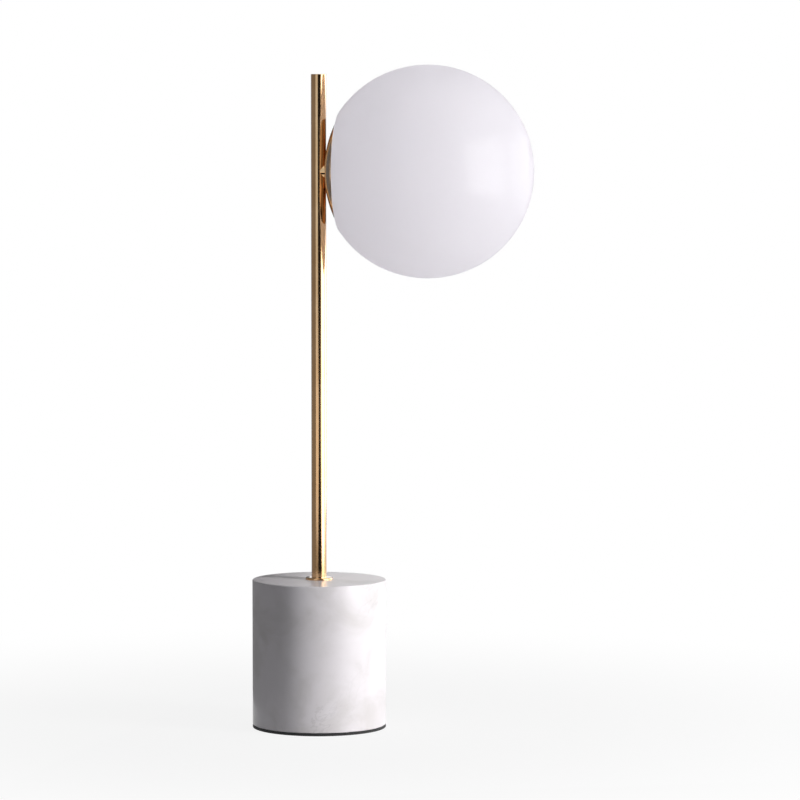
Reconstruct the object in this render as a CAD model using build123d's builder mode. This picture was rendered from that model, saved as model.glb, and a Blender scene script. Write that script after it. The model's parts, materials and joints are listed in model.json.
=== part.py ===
"""Glass globe table lamp: a marble drum, a slim brass post and an opal globe on a brass dish.

Units are millimetres, +Z is up and the origin is on the post's axis at the underside of the base.
The neck, the dish, the lampholder, the bulb and the globe share one level axis along +X, the arm.
"""

from build123d import *

import os
from math import sqrt

os.makedirs("parts", exist_ok=True)

# ---------------------------------------------------------------- driving dimensions

# base
base_diameter = 112.5
base_height = 125.0  # marble and pad together
pad_thickness = 2.5
arris_radius = 0.9
pocket_diameter = 50.0
pocket_height = 26.0
cord_hole_diameter = 9.0
cord_hole_height = 12.0
gland_bore_diameter = 6.4
gland_flange = 1.2
gland_rim = 1.6  # the flange, outside the hole

# post
post_diameter = 12.7
post_wall = 1.0
post_top = 549.2  # above the table
collar_diameter = 23.0
collar_height = 1.8
plug_head = 1.2
plug_depth = 9.0
anchor_length = 26.0
anchor_bore_diameter = 6.0  # the wires' way up into the arm
nipple_back = 1.5  # from the post's axis

# hollow threaded tube and its nuts, upright in the base and level in the arm
thread_diameter = 8.0
thread_bore = 5.5
nut_flats = 13.0
nut_height = 4.0
lock_washer_diameter = 14.0
lock_washer_thickness = 0.8
lock_washer_teeth = 12
notch_length = 2.2
notch_width = 1.3
pipe_washer_diameter = 34.0
pipe_washer_thickness = 2.5
pipe_engagement = 18.0  # length screwed into the post's foot
bush_length = 22.0

# globe
globe_diameter = 178.0
globe_wall = 3.0
globe_height = 468.0  # its centre, above the table
mouth_diameter = 80.0
seat_width = 9.05  # the ground flat round the mouth, before its corner is rounded
mouth_corner_radius = 8.0

# dish
neck_diameter = 12.0
neck_web = 0.6  # the neck's least thickness, in front of the post
rim_overlap = 4.0  # the dish's rim, outside the mouth's edge
dish_crown_radius = 94.0
dish_flat_diameter = 28.0
dish_wall = 1.2
rim_land = 0.4  # the trimmed edge, square to the crown's end
seat_ring_thickness = 0.5
seat_ring_inset = 0.3

# pan inside the dish, and the spring clips on it
pan_thickness = 1.0
pan_flat_radius = 11.5
pan_bend = 1.5
land_width = 12.5  # the flat that carries the clips
land_inset = 6.5  # from the mouth's edge to the land's
clip_count = 3
clip_width = 10.0
clip_thickness = 0.7
clip_inset = 2.5  # from the land's inner edge
clip_knee = 2.0  # past the land's outer edge
clip_bend = 1.4
clip_bulge_gap = 0.35
clip_bulge_depth = 3.0  # behind the glass
clip_lead_in = 8.0
rivet_inset = 5.0  # from the land's outer edge
rivet_diameter = 3.2
rivet_head_diameter = 5.6
rivet_head_height = 1.0

# lampholder for an E27 cap
shell_bore = 27.0
shell_wall = 0.45
shell_length = 21.0
shell_flange = 3.0
core_ledge = 2.4  # the ceramic core, outside the shell
core_length = 13.9
cap_wall = 2.0
cap_neck_diameter = 14.0
cap_neck_length = 6.8
cap_dome_length = 7.0
cap_dome_rise = 2.6
cap_rim_length = 10.0
skirt_wall = 1.4
skirt_lap = 7.8  # over the cap
skirt_reach = 25.0  # past the ceramic core
terminal_pitch = 14.0
terminal_diameter = 4.4
terminal_height = 2.2
terminal_stem_diameter = 2.6
terminal_stem_length = 5.0
leaf_width = 6.0
leaf_reach = 8.5
leaf_thickness = 0.5
leaf_height = 3.3
leaf_bend = 0.7

# bulb, E27 golf ball
bulb_diameter = 45.0
bulb_length = 76.0
bulb_wall = 1.0
bulb_neck_step = 0.35  # from the cap in to the housing
bulb_rim_step = 0.7  # from the dome's radius in to its rim
bulb_cap_play = 0.35  # radial, in the holder's shell
bulb_cap_length = 18.0
bulb_cap_wall = 0.4
contact_diameter = 9.6
contact_height = 1.6
contact_recess = 0.4
insulator_height = 2.4

# wiring
lead_play = 0.45  # between the pair of wires and the bore they share
lead_bend = 3.0
lead_setback = 0.3  # behind the post's axis, for the turn into the arm
lead_height = 9.0  # where the wires leave the terminal block
block_length = 14.0
block_width = 16.0
block_height = 12.0
block_play = 1.0  # from its corners to the pocket's wall
block_pitch = 8.0
block_screw_diameter = 4.0
block_screw_depth = 3.0
block_corner_radius = 1.5
block_edge_radius = 0.8

# clearances
thread_clearance = 0.05  # radial, between screwed, pressed or brazed round pieces
slip_clearance = 0.2  # radial, between round pieces that only pass
face_gap = 0.3  # between faces that stay apart
edge_break = 0.6  # chamfers on turned, moulded and blanked pieces

# ---------------------------------------------------------------- sizes that follow

base_radius = base_diameter / 2
post_radius = post_diameter / 2
post_bore_radius = post_radius - post_wall
thread_radius = thread_diameter / 2
tapped_radius = thread_radius + thread_clearance
passage_radius = thread_radius + slip_clearance

pocket_top = pad_thickness + pocket_height
pipe_washer_z = pocket_top - pipe_washer_thickness
pipe_lock_washer_z = pipe_washer_z - lock_washer_thickness
pipe_nut_z = pipe_lock_washer_z - nut_height
pipe_bottom = pipe_nut_z - nut_height
post_head_z = post_top - plug_head
anchor_bottom = globe_height - anchor_length / 2

lead_diameter = (thread_bore - slip_clearance) / 2 - lead_play
lead_spacing = lead_diameter + slip_clearance
block_reach = sqrt((pocket_diameter / 2 - block_play) ** 2 - (block_width / 2) ** 2)

# along the arm, from the post's axis
flat_radius = dish_flat_diameter / 2
mouth_radius = mouth_diameter / 2
rim_radius = mouth_radius + rim_overlap
dish_back = post_radius + neck_web
dish_front = dish_back + dish_wall
crown_centre = dish_back + sqrt(dish_crown_radius**2 - flat_radius**2)
inner_crown_radius = dish_crown_radius - dish_wall


def crown_x(radius, crown_radius):
    """Where the dish's outer or inner crown stands, at a radius from the arm's axis."""
    return crown_centre - sqrt(crown_radius**2 - radius**2)


crown_end = crown_x(rim_radius, dish_crown_radius)
rim_x = crown_end + rim_land
inner_flat_radius = sqrt(inner_crown_radius**2 - (crown_centre - dish_front) ** 2)
inner_rim_radius = sqrt(inner_crown_radius**2 - (crown_centre - rim_x) ** 2)

seat_x = rim_x + seat_ring_thickness
mouth_inside_x = seat_x + globe_wall
globe_radius = globe_diameter / 2
inner_globe_radius = globe_radius - globe_wall
seat_radius = mouth_radius + seat_width
globe_reach = seat_x + sqrt(globe_radius**2 - seat_radius**2)  # its centre, from the post's axis
inner_seat_radius = sqrt(inner_globe_radius**2 - (globe_reach - mouth_inside_x) ** 2)

pan_front = dish_front + pan_thickness
rivet_radius = rivet_diameter / 2
rivet_head_radius = rivet_head_diameter / 2
land_outer_radius = mouth_radius - land_inset
land_inner_radius = land_outer_radius - land_width
rivet_circle_radius = land_outer_radius - rivet_inset
rivet_tail_x = crown_x(rivet_circle_radius + rivet_head_radius, inner_crown_radius) + face_gap
land_back = rivet_tail_x + rivet_head_height
land_front = land_back + pan_thickness
bulge_x = mouth_inside_x + clip_bulge_depth
bulge_radius = mouth_radius - clip_bulge_gap
knee_radius = land_outer_radius + clip_knee

washer_front = pan_front + lock_washer_thickness
nut_front = washer_front + nut_height
holder_x = nut_front + face_gap

shell_radius = shell_bore / 2
core_radius = shell_radius + shell_wall + core_ledge
cap_radius = core_radius + slip_clearance + cap_wall
holder_radius = cap_radius + thread_clearance + skirt_wall
cap_neck_radius = cap_neck_diameter / 2
cap_neck_end = holder_x + cap_neck_length
cavity_x = cap_neck_end + cap_wall
nipple_front = cavity_x
dome_end = cap_neck_end + cap_dome_length
cap_end = dome_end + cap_rim_length
skirt_back = cap_end - skirt_lap
core_back = dome_end + face_gap
shell_start = core_back + core_length
holder_end = shell_start + skirt_reach
terminal_x = core_back - terminal_height

tip_x = shell_start + leaf_height + face_gap
bulb_radius = bulb_diameter / 2
bulb_cap_radius = shell_radius - bulb_cap_play
contact_radius = contact_diameter / 2
insulator_x = tip_x + contact_height - contact_recess
bulb_cap_x = insulator_x + insulator_height
bulb_cap_end = bulb_cap_x + bulb_cap_length
bulb_centre = tip_x + bulb_length - bulb_radius
bulb_rim_radius = bulb_radius - bulb_rim_step
bulb_rim_x = bulb_centre - sqrt(bulb_radius**2 - bulb_rim_radius**2)

arm_axis = Axis((0, 0, globe_height), (1, 0, 0))
# local x runs along the arm, local y is the distance from the arm's axis
arm_profile = Plane(origin=(0, 0, globe_height), x_dir=(1, 0, 0), z_dir=(0, -1, 0))


def across_arm(x):
    """A plane square to the arm, facing away from the post."""
    return Plane(origin=(x, 0, globe_height), x_dir=(0, 1, 0), z_dir=(1, 0, 0))


def toothed_ring():
    """A serrated lock washer's outline: a ring with notches round it."""
    Circle(lock_washer_diameter / 2)
    with PolarLocations(lock_washer_diameter / 2, lock_washer_teeth):
        Rectangle(notch_length, notch_width, mode=Mode.SUBTRACT)
    Circle(passage_radius, mode=Mode.SUBTRACT)


# ---------------------------------------------------------------- base

with BuildPart() as base_pad:
    with BuildSketch():
        Circle(base_radius)
    extrude(amount=pad_thickness)
base_pad.part.label = "base_pad"
export_step(base_pad.part, "parts/base_pad.step")

with BuildPart() as marble_base:
    with BuildSketch(Plane.XY.offset(pad_thickness)):
        Circle(base_radius)
    extrude(amount=base_height - pad_thickness)
    fillet(marble_base.edges().group_by(Axis.Z)[-1], radius=arris_radius)
    chamfer(marble_base.edges().group_by(Axis.Z)[0], length=arris_radius / 2)
    with BuildSketch(Plane.XY.offset(pad_thickness)):
        Circle(pocket_diameter / 2)
    extrude(amount=pocket_height, mode=Mode.SUBTRACT)
    with BuildSketch(Plane.XY.offset(pad_thickness)):
        Circle(passage_radius)
    extrude(amount=base_height - pad_thickness, mode=Mode.SUBTRACT)
    with BuildSketch(Plane.XZ.offset(-base_radius)):
        with Locations((0, cord_hole_height)):
            Circle(cord_hole_diameter / 2)
    extrude(amount=base_radius, mode=Mode.SUBTRACT)
marble_base.part.label = "marble_base"
export_step(marble_base.part, "parts/marble_base.step")

# a flanged bush in the cord hole, flush with the pocket inside
gland_radius = cord_hole_diameter / 2 - thread_clearance
with BuildPart() as cord_gland:
    with BuildSketch(Plane.XZ.offset(-base_radius)):
        with Locations((0, cord_hole_height)):
            Circle(gland_radius)
    extrude(amount=base_radius - pocket_diameter / 2)
    with BuildSketch(Plane.XZ.offset(-base_radius)):
        with Locations((0, cord_hole_height)):
            Circle(gland_radius + gland_rim)
    extrude(amount=-gland_flange)
    fillet(cord_gland.faces().sort_by(Axis.Y)[-1].edges(), radius=gland_flange / 2)
    with BuildSketch(Plane.XZ.offset(-base_radius - gland_flange)):
        with Locations((0, cord_hole_height)):
            Circle(gland_bore_diameter / 2)
    extrude(amount=base_radius, mode=Mode.SUBTRACT)
cord_gland.part.label = "cord_gland"
export_step(cord_gland.part, "parts/cord_gland.step")

with BuildPart() as pipe_washer:
    with BuildSketch(Plane.XY.offset(pipe_washer_z)):
        Circle(pipe_washer_diameter / 2)
        Circle(passage_radius, mode=Mode.SUBTRACT)
    extrude(amount=pipe_washer_thickness)
    chamfer(pipe_washer.edges().group_by(Axis.Z)[0].sort_by(SortBy.LENGTH)[-1], length=edge_break)
pipe_washer.part.label = "pipe_washer"
export_step(pipe_washer.part, "parts/pipe_washer.step")

with BuildPart() as pipe_lock_washer:
    with BuildSketch(Plane.XY.offset(pipe_lock_washer_z)):
        toothed_ring()
    extrude(amount=lock_washer_thickness)
pipe_lock_washer.part.label = "pipe_lock_washer"
export_step(pipe_lock_washer.part, "parts/pipe_lock_washer.step")

with BuildPart() as pipe_nut:
    with BuildSketch(Plane.XY.offset(pipe_nut_z)):
        RegularPolygon(nut_flats / 2, side_count=6, major_radius=False)
        Circle(tapped_radius, mode=Mode.SUBTRACT)
    extrude(amount=nut_height)
pipe_nut.part.label = "pipe_nut"
export_step(pipe_nut.part, "parts/pipe_nut.step")

with BuildPart() as threaded_pipe:
    with BuildSketch(Plane.XY.offset(pipe_bottom)):
        Circle(thread_radius)
        Circle(thread_bore / 2, mode=Mode.SUBTRACT)
    extrude(amount=base_height + pipe_engagement - pipe_bottom)
threaded_pipe.part.label = "threaded_pipe"
export_step(threaded_pipe.part, "parts/threaded_pipe.step")

# ---------------------------------------------------------------- post

with BuildPart() as post_collar:
    with BuildSketch(Plane.XY.offset(base_height)):
        Circle(collar_diameter / 2)
        Circle(post_radius + thread_clearance, mode=Mode.SUBTRACT)
    extrude(amount=collar_height)
    fillet(post_collar.edges().group_by(Axis.Z)[-1].sort_by(SortBy.LENGTH)[-1], radius=0.6 * collar_height)
post_collar.part.label = "post_collar"
export_step(post_collar.part, "parts/post_collar.step")

with BuildPart() as post_tube:
    with BuildSketch(Plane.XY.offset(base_height)):
        Circle(post_radius)
        Circle(post_bore_radius, mode=Mode.SUBTRACT)
    extrude(amount=post_head_z - base_height)
    with BuildSketch(across_arm(0)):
        Circle(passage_radius)
    extrude(amount=post_diameter, mode=Mode.SUBTRACT)
post_tube.part.label = "post_tube"
export_step(post_tube.part, "parts/post_tube.step")

with BuildPart() as post_foot_bush:
    with BuildSketch(Plane.XY.offset(base_height)):
        Circle(post_bore_radius - thread_clearance)
        Circle(tapped_radius, mode=Mode.SUBTRACT)
    extrude(amount=bush_length)
post_foot_bush.part.label = "post_foot_bush"
export_step(post_foot_bush.part, "parts/post_foot_bush.step")

with BuildPart() as post_top_plug:
    with BuildSketch(Plane.XY.offset(post_head_z)):
        Circle(post_radius)
    extrude(amount=plug_head)
    fillet(post_top_plug.edges().group_by(Axis.Z)[-1], radius=0.3 * plug_head)
    with BuildSketch(Plane.XY.offset(post_head_z)):
        Circle(post_bore_radius - thread_clearance)
    extrude(amount=-plug_depth)
    chamfer(post_top_plug.edges().group_by(Axis.Z)[0], length=edge_break)
post_top_plug.part.label = "post_top_plug"
export_step(post_top_plug.part, "parts/post_top_plug.step")

# a slug inside the tube, tapped from the side for the arm and drilled from below for the wires
with BuildPart() as arm_anchor:
    with BuildSketch(Plane.XY.offset(anchor_bottom)):
        Circle(post_bore_radius - thread_clearance)
    extrude(amount=anchor_length)
    chamfer(arm_anchor.edges().filter_by(GeomType.CIRCLE), length=edge_break)
    with BuildSketch(across_arm(nipple_back - anchor_bore_diameter / 2)):
        Circle(tapped_radius)
    extrude(amount=post_diameter, mode=Mode.SUBTRACT)
    with BuildSketch(Plane.XY.offset(anchor_bottom)):
        Circle(anchor_bore_diameter / 2)
    extrude(amount=anchor_length / 2, mode=Mode.SUBTRACT)
arm_anchor.part.label = "arm_anchor"
export_step(arm_anchor.part, "parts/arm_anchor.step")

# ---------------------------------------------------------------- arm and dish

# a short round neck, coped to sit on the post
with BuildPart() as arm_neck:
    with BuildSketch(across_arm(0)):
        Circle(neck_diameter / 2)
        Circle(passage_radius, mode=Mode.SUBTRACT)
    extrude(amount=dish_back)
    with BuildSketch(Plane.XY.offset(globe_height - neck_diameter)):
        Circle(post_radius)
    extrude(amount=2 * neck_diameter, mode=Mode.SUBTRACT)
arm_neck.part.label = "arm_neck"
export_step(arm_neck.part, "parts/arm_neck.step")

with BuildPart() as arm_nipple:
    with BuildSketch(across_arm(nipple_back)):
        Circle(thread_radius)
        Circle(thread_bore / 2, mode=Mode.SUBTRACT)
    extrude(amount=nipple_front - nipple_back)
arm_nipple.part.label = "arm_nipple"
export_step(arm_nipple.part, "parts/arm_nipple.step")

# spun: a flat centre, then one arc out to a trimmed rim
outer_mid_radius = (flat_radius + rim_radius) / 2
inner_mid_radius = (inner_flat_radius + inner_rim_radius) / 2
with BuildPart() as dish:
    with BuildSketch(arm_profile):
        with BuildLine():
            Polyline((dish_front, passage_radius), (dish_back, passage_radius), (dish_back, flat_radius))
            ThreePointArc(
                (dish_back, flat_radius),
                (crown_x(outer_mid_radius, dish_crown_radius), outer_mid_radius),
                (crown_end, rim_radius),
            )
            Polyline((crown_end, rim_radius), (rim_x, rim_radius), (rim_x, inner_rim_radius))
            ThreePointArc(
                (rim_x, inner_rim_radius),
                (crown_x(inner_mid_radius, inner_crown_radius), inner_mid_radius),
                (dish_front, inner_flat_radius),
            )
            Line((dish_front, inner_flat_radius), (dish_front, passage_radius))
        make_face()
    revolve(axis=arm_axis)
    fillet(dish.faces().sort_by(Axis.X)[-1].outer_wire().edges(), radius=0.4 * rim_land)
dish.part.label = "dish"
export_step(dish.part, "parts/dish.step")

with BuildPart() as seat_ring:
    with BuildSketch(across_arm(rim_x)):
        Circle(rim_radius - seat_ring_inset)
        Circle(inner_rim_radius, mode=Mode.SUBTRACT)
    extrude(amount=seat_ring_thickness)
seat_ring.part.label = "seat_ring"
export_step(seat_ring.part, "parts/seat_ring.step")

# pressed: a centre flat, a cone and the land that carries the clips
with BuildPart() as clip_pan:
    with BuildSketch(arm_profile):
        with BuildLine():
            FilletPolyline(
                (dish_front + pan_thickness / 2, passage_radius),
                (dish_front + pan_thickness / 2, pan_flat_radius),
                (land_back + pan_thickness / 2, land_inner_radius),
                (land_back + pan_thickness / 2, land_outer_radius),
                radius=pan_bend,
            )
        trace(line_width=pan_thickness)
    revolve(axis=arm_axis)
    with BuildSketch(across_arm(land_back)):
        with PolarLocations(rivet_circle_radius, clip_count, start_angle=90):
            Circle(rivet_radius + thread_clearance)
    extrude(amount=pan_thickness, mode=Mode.SUBTRACT)
clip_pan.part.label = "clip_pan"
export_step(clip_pan.part, "parts/clip_pan.step")

with BuildPart() as arm_lock_washer:
    with BuildSketch(across_arm(pan_front)):
        toothed_ring()
    extrude(amount=lock_washer_thickness)
arm_lock_washer.part.label = "arm_lock_washer"
export_step(arm_lock_washer.part, "parts/arm_lock_washer.step")

with BuildPart() as arm_nut:
    with BuildSketch(across_arm(washer_front)):
        RegularPolygon(nut_flats / 2, side_count=6, major_radius=False)
        Circle(tapped_radius, mode=Mode.SUBTRACT)
    extrude(amount=nut_height)
arm_nut.part.label = "arm_nut"
export_step(arm_nut.part, "parts/arm_nut.step")

# ---------------------------------------------------------------- spring clips

# each strip lies on the land, turns into the mouth, bulges behind its edge and leads in
clip_foot_x = land_front + clip_thickness / 2
for number in range(clip_count):
    clip_turn = number * 360 / clip_count
    with BuildPart() as globe_clip:
        with BuildSketch(arm_profile.rotated((clip_turn, 0, 0))):
            with BuildLine():
                FilletPolyline(
                    (clip_foot_x, land_inner_radius + clip_inset),
                    (clip_foot_x, knee_radius),
                    (bulge_x, bulge_radius - clip_thickness / 2),
                    (bulge_x + clip_lead_in, knee_radius),
                    radius=clip_bend,
                )
            trace(line_width=clip_thickness)
        extrude(amount=clip_width / 2, both=True)
        with BuildSketch(across_arm(land_front)):
            with PolarLocations(rivet_circle_radius, 1, start_angle=90 + clip_turn):
                Circle(rivet_radius + thread_clearance)
        extrude(amount=clip_thickness, mode=Mode.SUBTRACT)
    globe_clip.part.label = f"globe_clip_{number + 1}"
    export_step(globe_clip.part, f"parts/globe_clip_{number + 1}.step")

with BuildPart() as clip_rivets:
    with BuildSketch(across_arm(rivet_tail_x)):
        with PolarLocations(rivet_circle_radius, clip_count, start_angle=90):
            Circle(rivet_head_radius)
    extrude(amount=rivet_head_height)
    with BuildSketch(across_arm(land_back)):
        with PolarLocations(rivet_circle_radius, clip_count, start_angle=90):
            Circle(rivet_radius)
    extrude(amount=pan_thickness + clip_thickness)
    with BuildSketch(across_arm(land_front + clip_thickness)):
        with PolarLocations(rivet_circle_radius, clip_count, start_angle=90):
            Circle(rivet_head_radius)
    extrude(amount=rivet_head_height)
    fillet(clip_rivets.edges().group_by(Axis.X)[-1], radius=0.6 * rivet_head_height)
clip_rivets.part.label = "clip_rivets"
export_step(clip_rivets.part, "parts/clip_rivets.step")

# ---------------------------------------------------------------- lampholder

with BuildPart() as holder_cap:
    with BuildSketch(arm_profile):
        with BuildLine():
            Polyline((holder_x, tapped_radius), (holder_x, cap_neck_radius), (cap_neck_end, cap_neck_radius))
            SagittaArc((cap_neck_end, cap_neck_radius), (dome_end, cap_radius), cap_dome_rise)
            Polyline(
                (dome_end, cap_radius),
                (cap_end, cap_radius),
                (cap_end, cap_radius - cap_wall),
                (dome_end, cap_radius - cap_wall),
            )
            SagittaArc(
                (dome_end, cap_radius - cap_wall),
                (cavity_x, cap_neck_radius),
                -cap_dome_rise,
            )
            Polyline(
                (cavity_x, cap_neck_radius),
                (cavity_x, tapped_radius),
                (holder_x, tapped_radius),
            )
        make_face()
    revolve(axis=arm_axis)
holder_cap.part.label = "holder_cap"
export_step(holder_cap.part, "parts/holder_cap.step")

# the moulded skirt screws over the cap and traps the ceramic core between two shoulders
with BuildPart() as holder_skirt:
    with BuildSketch(across_arm(skirt_back)):
        Circle(holder_radius)
    extrude(amount=holder_end - skirt_back)
    fillet(holder_skirt.edges().filter_by(GeomType.CIRCLE), radius=skirt_wall / 2)
    with BuildSketch(across_arm(skirt_back)):
        Circle(shell_radius + shell_wall + face_gap)
    extrude(amount=holder_end - skirt_back, mode=Mode.SUBTRACT)
    with BuildSketch(across_arm(skirt_back)):
        Circle(core_radius + slip_clearance)
    extrude(amount=shell_start - skirt_back, mode=Mode.SUBTRACT)
    with BuildSketch(across_arm(skirt_back)):
        Circle(cap_radius + thread_clearance)
    extrude(amount=skirt_lap + thread_clearance, mode=Mode.SUBTRACT)
holder_skirt.part.label = "holder_skirt"
export_step(holder_skirt.part, "parts/holder_skirt.step")

terminal_places = [(terminal_pitch / 2, 0), (-terminal_pitch / 2, 0)]
with BuildPart() as holder_core:
    with BuildSketch(across_arm(core_back)):
        Circle(core_radius)
    extrude(amount=shell_start - core_back)
    chamfer(holder_core.edges().group_by(Axis.X)[0], length=edge_break)
    with BuildSketch(across_arm(core_back)):
        with Locations(terminal_places):
            Circle(terminal_stem_diameter / 2 + thread_clearance)
    extrude(amount=terminal_stem_length, mode=Mode.SUBTRACT)
holder_core.part.label = "holder_core"
export_step(holder_core.part, "parts/holder_core.step")

with BuildPart() as holder_terminals:
    with BuildSketch(across_arm(terminal_x)):
        with Locations(terminal_places):
            Circle(terminal_diameter / 2)
    extrude(amount=terminal_height)
    with BuildSketch(across_arm(core_back)):
        with Locations(terminal_places):
            Circle(terminal_stem_diameter / 2)
    extrude(amount=terminal_stem_length)
holder_terminals.part.label = "holder_terminals"
export_step(holder_terminals.part, "parts/holder_terminals.step")

with BuildPart() as holder_shell:
    with BuildSketch(across_arm(shell_start)):
        Circle(shell_radius + shell_wall)
        Circle(shell_radius - shell_flange, mode=Mode.SUBTRACT)
    extrude(amount=shell_length)
    with BuildSketch(across_arm(shell_start + shell_wall)):
        Circle(shell_radius)
    extrude(amount=shell_length, mode=Mode.SUBTRACT)
holder_shell.part.label = "holder_shell"
export_step(holder_shell.part, "parts/holder_shell.step")

# a sprung leaf: its foot lies on the core and its crown faces the bulb's contact
leaf_foot_x = shell_start + leaf_thickness / 2
leaf_crown_x = shell_start + leaf_height - leaf_thickness / 2
with BuildPart() as holder_contact:
    with BuildSketch(arm_profile):
        with BuildLine():
            FilletPolyline(
                (leaf_foot_x, -leaf_reach),
                (leaf_foot_x, -leaf_reach / 2),
                (leaf_crown_x, -leaf_width / 4),
                (leaf_crown_x, leaf_width / 4),
                (leaf_foot_x + leaf_thickness, leaf_reach / 2),
                radius=leaf_bend,
            )
        trace(line_width=leaf_thickness)
    extrude(amount=leaf_width / 2, both=True)
holder_contact.part.label = "holder_contact"
export_step(holder_contact.part, "parts/holder_contact.step")

# ---------------------------------------------------------------- wiring

block_x = block_length / 2 - block_reach
with BuildPart() as terminal_block:
    with BuildSketch(Plane.XY.offset(pad_thickness)):
        with Locations((block_x, 0)):
            RectangleRounded(block_length, block_width, block_corner_radius)
    extrude(amount=block_height)
    fillet(terminal_block.edges().group_by(Axis.Z)[-1], radius=block_edge_radius)
    with BuildSketch(Plane.XY.offset(pad_thickness + block_height)):
        with Locations((block_x, block_pitch / 2), (block_x, -block_pitch / 2)):
            Circle(block_screw_diameter / 2)
    extrude(amount=-block_screw_depth, mode=Mode.SUBTRACT)
terminal_block.part.label = "terminal_block"
export_step(terminal_block.part, "parts/terminal_block.step")

# each wire climbs from the block through the pipe and the post, and turns into the arm
for lead_name, side in (("lead_live", 1), ("lead_neutral", -1)):
    lead_y = side * lead_spacing / 2
    block_end = (block_length - block_reach, side * block_pitch / 2, lead_height)
    pipe_end = (-lead_setback, lead_y, pipe_bottom)
    turn_start = (-lead_setback, lead_y, globe_height - lead_bend)
    turn_middle = (
        lead_bend * (1 - sqrt(0.5)) - lead_setback,
        lead_y,
        globe_height - lead_bend * (1 - sqrt(0.5)),
    )
    turn_end = (lead_bend - lead_setback, lead_y, globe_height)
    nipple_end = (nipple_front, lead_y, globe_height)
    terminal_end = (terminal_x, side * terminal_pitch / 2, globe_height)
    with BuildPart() as lead:
        with BuildLine():
            Spline(block_end, pipe_end, tangents=((1, 0, 0), (0, 0, 1)))
            Line(pipe_end, turn_start)
            ThreePointArc(turn_start, turn_middle, turn_end)
            Line(turn_end, nipple_end)
            Spline(nipple_end, terminal_end, tangents=((1, 0, 0), (1, 0, 0)))
        with BuildSketch(Plane(origin=block_end, z_dir=(1, 0, 0))):
            Circle(lead_diameter / 2)
        sweep()
    lead.part.label = lead_name
    export_step(lead.part, f"parts/{lead_name}.step")

# ---------------------------------------------------------------- globe

# blown, with its mouth ground flat and fire-polished corners
with BuildPart() as globe_glass:
    with BuildSketch(arm_profile):
        with BuildLine():
            Line((seat_x, mouth_radius), (seat_x, seat_radius))
            ThreePointArc((seat_x, seat_radius), (globe_reach, globe_radius), (globe_reach + globe_radius, 0))
            Line((globe_reach + globe_radius, 0), (globe_reach + inner_globe_radius, 0))
            ThreePointArc(
                (globe_reach + inner_globe_radius, 0),
                (globe_reach, inner_globe_radius),
                (mouth_inside_x, inner_seat_radius),
            )
            Polyline(
                (mouth_inside_x, inner_seat_radius),
                (mouth_inside_x, mouth_radius),
                (seat_x, mouth_radius),
            )
        make_face()
    revolve(axis=arm_axis)
    mouth_edges = globe_glass.edges().filter_by(GeomType.CIRCLE)
    outer_corner = mouth_edges.group_by(Axis.X)[0].sort_by(SortBy.RADIUS)[-1]
    fillet(outer_corner, radius=mouth_corner_radius)
globe_glass.part.label = "globe_glass"
export_step(globe_glass.part, "parts/globe_glass.step")

# ---------------------------------------------------------------- bulb

with BuildPart() as bulb_contact:
    with BuildSketch(across_arm(tip_x)):
        Circle(contact_radius)
    extrude(amount=contact_height)
    fillet(bulb_contact.edges().group_by(Axis.X)[0], radius=contact_height / 2)
bulb_contact.part.label = "bulb_contact"
export_step(bulb_contact.part, "parts/bulb_contact.step")

# black glass between the eyelet and the threaded cap
with BuildPart() as bulb_insulator:
    with BuildSketch(arm_profile):
        with BuildLine():
            Polyline(
                (insulator_x, 0),
                (insulator_x, contact_radius + contact_recess),
                (bulb_cap_x, bulb_cap_radius - 2 * bulb_cap_wall),
                (bulb_cap_x, 0),
                (insulator_x, 0),
            )
        make_face()
    revolve(axis=arm_axis)
    with BuildSketch(across_arm(insulator_x)):
        Circle(contact_radius + thread_clearance)
    extrude(amount=contact_recess, mode=Mode.SUBTRACT)
bulb_insulator.part.label = "bulb_insulator"
export_step(bulb_insulator.part, "parts/bulb_insulator.step")

with BuildPart() as bulb_cap:
    with BuildSketch(across_arm(bulb_cap_x)):
        Circle(bulb_cap_radius)
    extrude(amount=bulb_cap_length)
    with BuildSketch(across_arm(bulb_cap_x + bulb_cap_wall)):
        Circle(bulb_cap_radius - bulb_cap_wall)
    extrude(amount=bulb_cap_length, mode=Mode.SUBTRACT)
bulb_cap.part.label = "bulb_cap"
export_step(bulb_cap.part, "parts/bulb_cap.step")

# a hollow flare from the cap to the dome
neck_radius = bulb_cap_radius - bulb_neck_step
with BuildPart() as bulb_housing:
    with BuildSketch(arm_profile):
        with BuildLine():
            Spline(
                (bulb_cap_end, neck_radius),
                (bulb_rim_x, bulb_rim_radius),
                tangents=((1, 0.2), (1, 0.1)),
            )
            Line((bulb_rim_x, bulb_rim_radius), (bulb_rim_x, bulb_rim_radius - bulb_wall))
            Spline(
                (bulb_rim_x, bulb_rim_radius - bulb_wall),
                (bulb_cap_end, neck_radius - bulb_wall),
                tangents=((-1, -0.1), (-1, -0.2)),
            )
            Line((bulb_cap_end, neck_radius - bulb_wall), (bulb_cap_end, neck_radius))
        make_face()
    revolve(axis=arm_axis)
bulb_housing.part.label = "bulb_housing"
export_step(bulb_housing.part, "parts/bulb_housing.step")

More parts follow.
